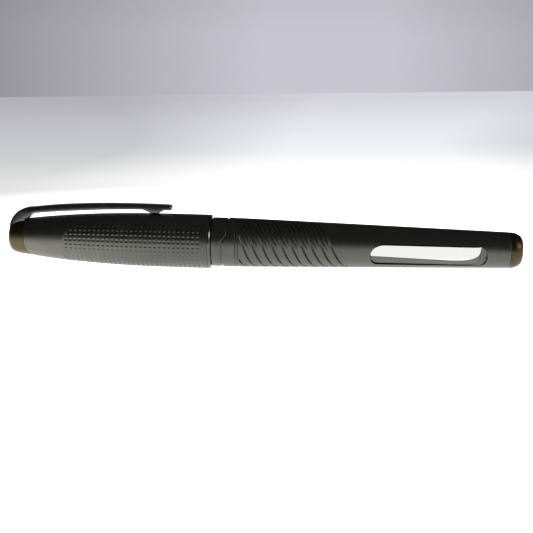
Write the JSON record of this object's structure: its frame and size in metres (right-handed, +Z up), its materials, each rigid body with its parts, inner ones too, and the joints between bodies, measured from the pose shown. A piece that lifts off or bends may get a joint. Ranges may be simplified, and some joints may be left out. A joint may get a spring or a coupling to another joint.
{
  "type": "rollerball pen",
  "caption": "Capped metal rollerball pen with a sprung pocket clip, knurled cap, tapered barrel with an inlaid plate, and a screw-in writing section.",
  "frame": {"origin": "centre of the pen's footprint, at the lowest line of the cap, which is the surface the pen lies on", "axes": "+X along the pen from the cap's crown to the barrel's end, +Z up with the clip on top, +Y away from the side that carries the inlay plate"},
  "size_m": [0.1386, 0.0146, 0.0172],
  "materials": {
    "gunmetal": "dark grey vapour-coated metal, satin with a soft mirror reflection",
    "bronze": "dark polished bronze",
    "mirror_steel": "mirror polish",
    "turned_brass": "as turned",
    "spring_steel": "drawn wire",
    "refill_steel": "plain drawn tube",
    "carbide": "ground tungsten carbide",
    "black_resin": "polished black resin",
    "liner_plastic": "moulded black plastic",
    "refill_plastic": "moulded plastic",
    "ink_fibre": "ink-soaked polyester fibre",
    "rubber": "matt nitrile rubber"
  },
  "bodies": {
    "barrel": {"barrel_shell": "gunmetal", "front_collar": "gunmetal", "barrel_bush": "turned_brass", "inlay_plate": "mirror_steel", "end_bush": "turned_brass", "end_plug": "bronze", "refill_spring": "spring_steel"},
    "refill": {"refill_tube": "refill_steel", "refill_nose": "refill_plastic", "refill_tip": "refill_steel", "refill_end_plug": "refill_plastic", "ink_reservoir": "ink_fibre"},
    "ball": {"rollerball": "carbide"},
    "section": {"grip_section": "black_resin", "section_nose_cone": "gunmetal", "section_thread": "turned_brass", "section_flange_ring": "gunmetal", "section_o_ring": "rubber", "cap_snap_ring": "spring_steel"},
    "cap": {"cap_shell": "gunmetal", "cap_lip_ring": "gunmetal", "cap_liner": "liner_plastic", "cap_finial": "bronze", "clip_carrier": "turned_brass", "clip_pivot_pin": "spring_steel", "clip_spring": "spring_steel"},
    "clip": {"clip": "gunmetal"}
  },
  "joints": [
    {"name": "refill_advance", "type": "slide", "parent": "barrel", "child": "refill", "axis": [-1, 0, 0], "range_m": [0, 0.0038], "deforming": ["refill_spring"]},
    {"name": "section_unscrew", "type": "hinge", "parent": "refill", "child": "section", "pos_m": [-0.01, 0, 0.00732], "axis": [-1, 0, 0], "range_deg": [0, 1800]},
    {"name": "cap_pull", "type": "slide", "parent": "section", "child": "cap", "axis": [-1, 0, 0], "range_m": [0, 0.06]},
    {"name": "clip_lift", "type": "hinge", "parent": "cap", "child": "clip", "pos_m": [-0.0661, 0, 0.00962], "axis": [0, -1, 0], "range_deg": [0, 6], "stiffness_Nm_per_rad": 0.2, "springref_deg": -17.19, "deforming": ["clip_spring"]},
    {"name": "ball_roll", "type": "hinge", "parent": "refill", "child": "ball", "pos_m": [-0.05695, 0, 0.00732], "axis": [0, 1, 0], "continuous": true}
  ],
  "couplings": [
    {"joint": "refill_advance", "follows": "section_unscrew", "m_per_rad": 0.00011937}
  ]
}
